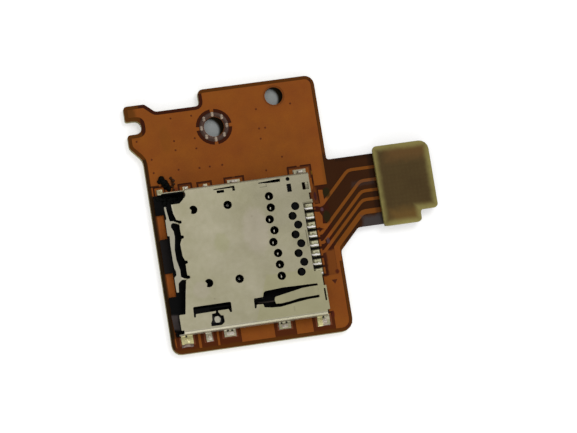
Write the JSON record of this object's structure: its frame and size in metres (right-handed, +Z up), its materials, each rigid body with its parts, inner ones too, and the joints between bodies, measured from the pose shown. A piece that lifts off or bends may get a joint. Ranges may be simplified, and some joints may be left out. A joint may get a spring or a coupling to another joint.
{
  "type": "push-push memory card socket on a flexible circuit",
  "caption": "Low push-push socket for a micro-size memory card, soldered to a stiffened flexible circuit whose tail ends in a board-to-board plug.",
  "frame": {"origin": "on the stiffener's underside, below the middle of the card's path", "axes": "+X the way the card goes in, +Y across the card towards the screw hole, +Z up out of the board"},
  "size_m": [0.0284, 0.0249, 0.0022],
  "materials": {
    "polyimide_film": "satin cover film over copper, orange brown",
    "circuit_board": "bare glass laminate, olive",
    "stainless": "satin stamped sheet, lightly stained",
    "gold": "thin gold over nickel, tinned at the tails",
    "black_plastic": "moulded, satin",
    "steel_wire": "bright drawn wire"
  },
  "bodies": {
    "socket_board": {"board_stiffener": "circuit_board", "flex_board": "polyimide_film", "tail_stiffener": "circuit_board", "plug_housing": "black_plastic", "plug_contact_01": "gold", "plug_contact_02": "gold", "plug_contact_03": "gold", "plug_contact_04": "gold", "plug_contact_05": "gold", "plug_contact_06": "gold", "plug_contact_07": "gold", "plug_contact_08": "gold", "plug_contact_09": "gold", "plug_contact_10": "gold", "plug_contact_11": "gold", "plug_contact_12": "gold", "plug_contact_13": "gold", "plug_contact_14": "gold", "plug_contact_15": "gold", "plug_contact_16": "gold", "plug_clip_1": "gold", "plug_clip_2": "gold", "shell": "stainless", "housing": "black_plastic", "contact_1": "gold", "contact_2": "gold", "contact_3": "gold", "contact_4": "gold", "contact_5": "gold", "contact_6": "gold", "contact_7": "gold", "contact_8": "gold", "detect_switch_arm": "gold", "detect_switch_stop": "gold", "eject_spring": "steel_wire"},
    "carriage": {"slider": "black_plastic", "card_lock_spring": "stainless"},
    "pin": {"guide_pin": "steel_wire"}
  },
  "joints": [
    {"name": "slider_travel", "type": "slide", "parent": "socket_board", "child": "carriage", "axis": [1, 0, 0], "range_m": [0, 0.0043], "stiffness_N_per_m": 120, "springref_m": -0.003, "deforming": ["eject_spring"]},
    {"name": "pin_swing", "type": "hinge", "parent": "socket_board", "child": "pin", "pos_m": [0.00575, -0.0059, 0.00186], "axis": [0, 0, 1], "range_deg": [0, 5.5]}
  ]
}
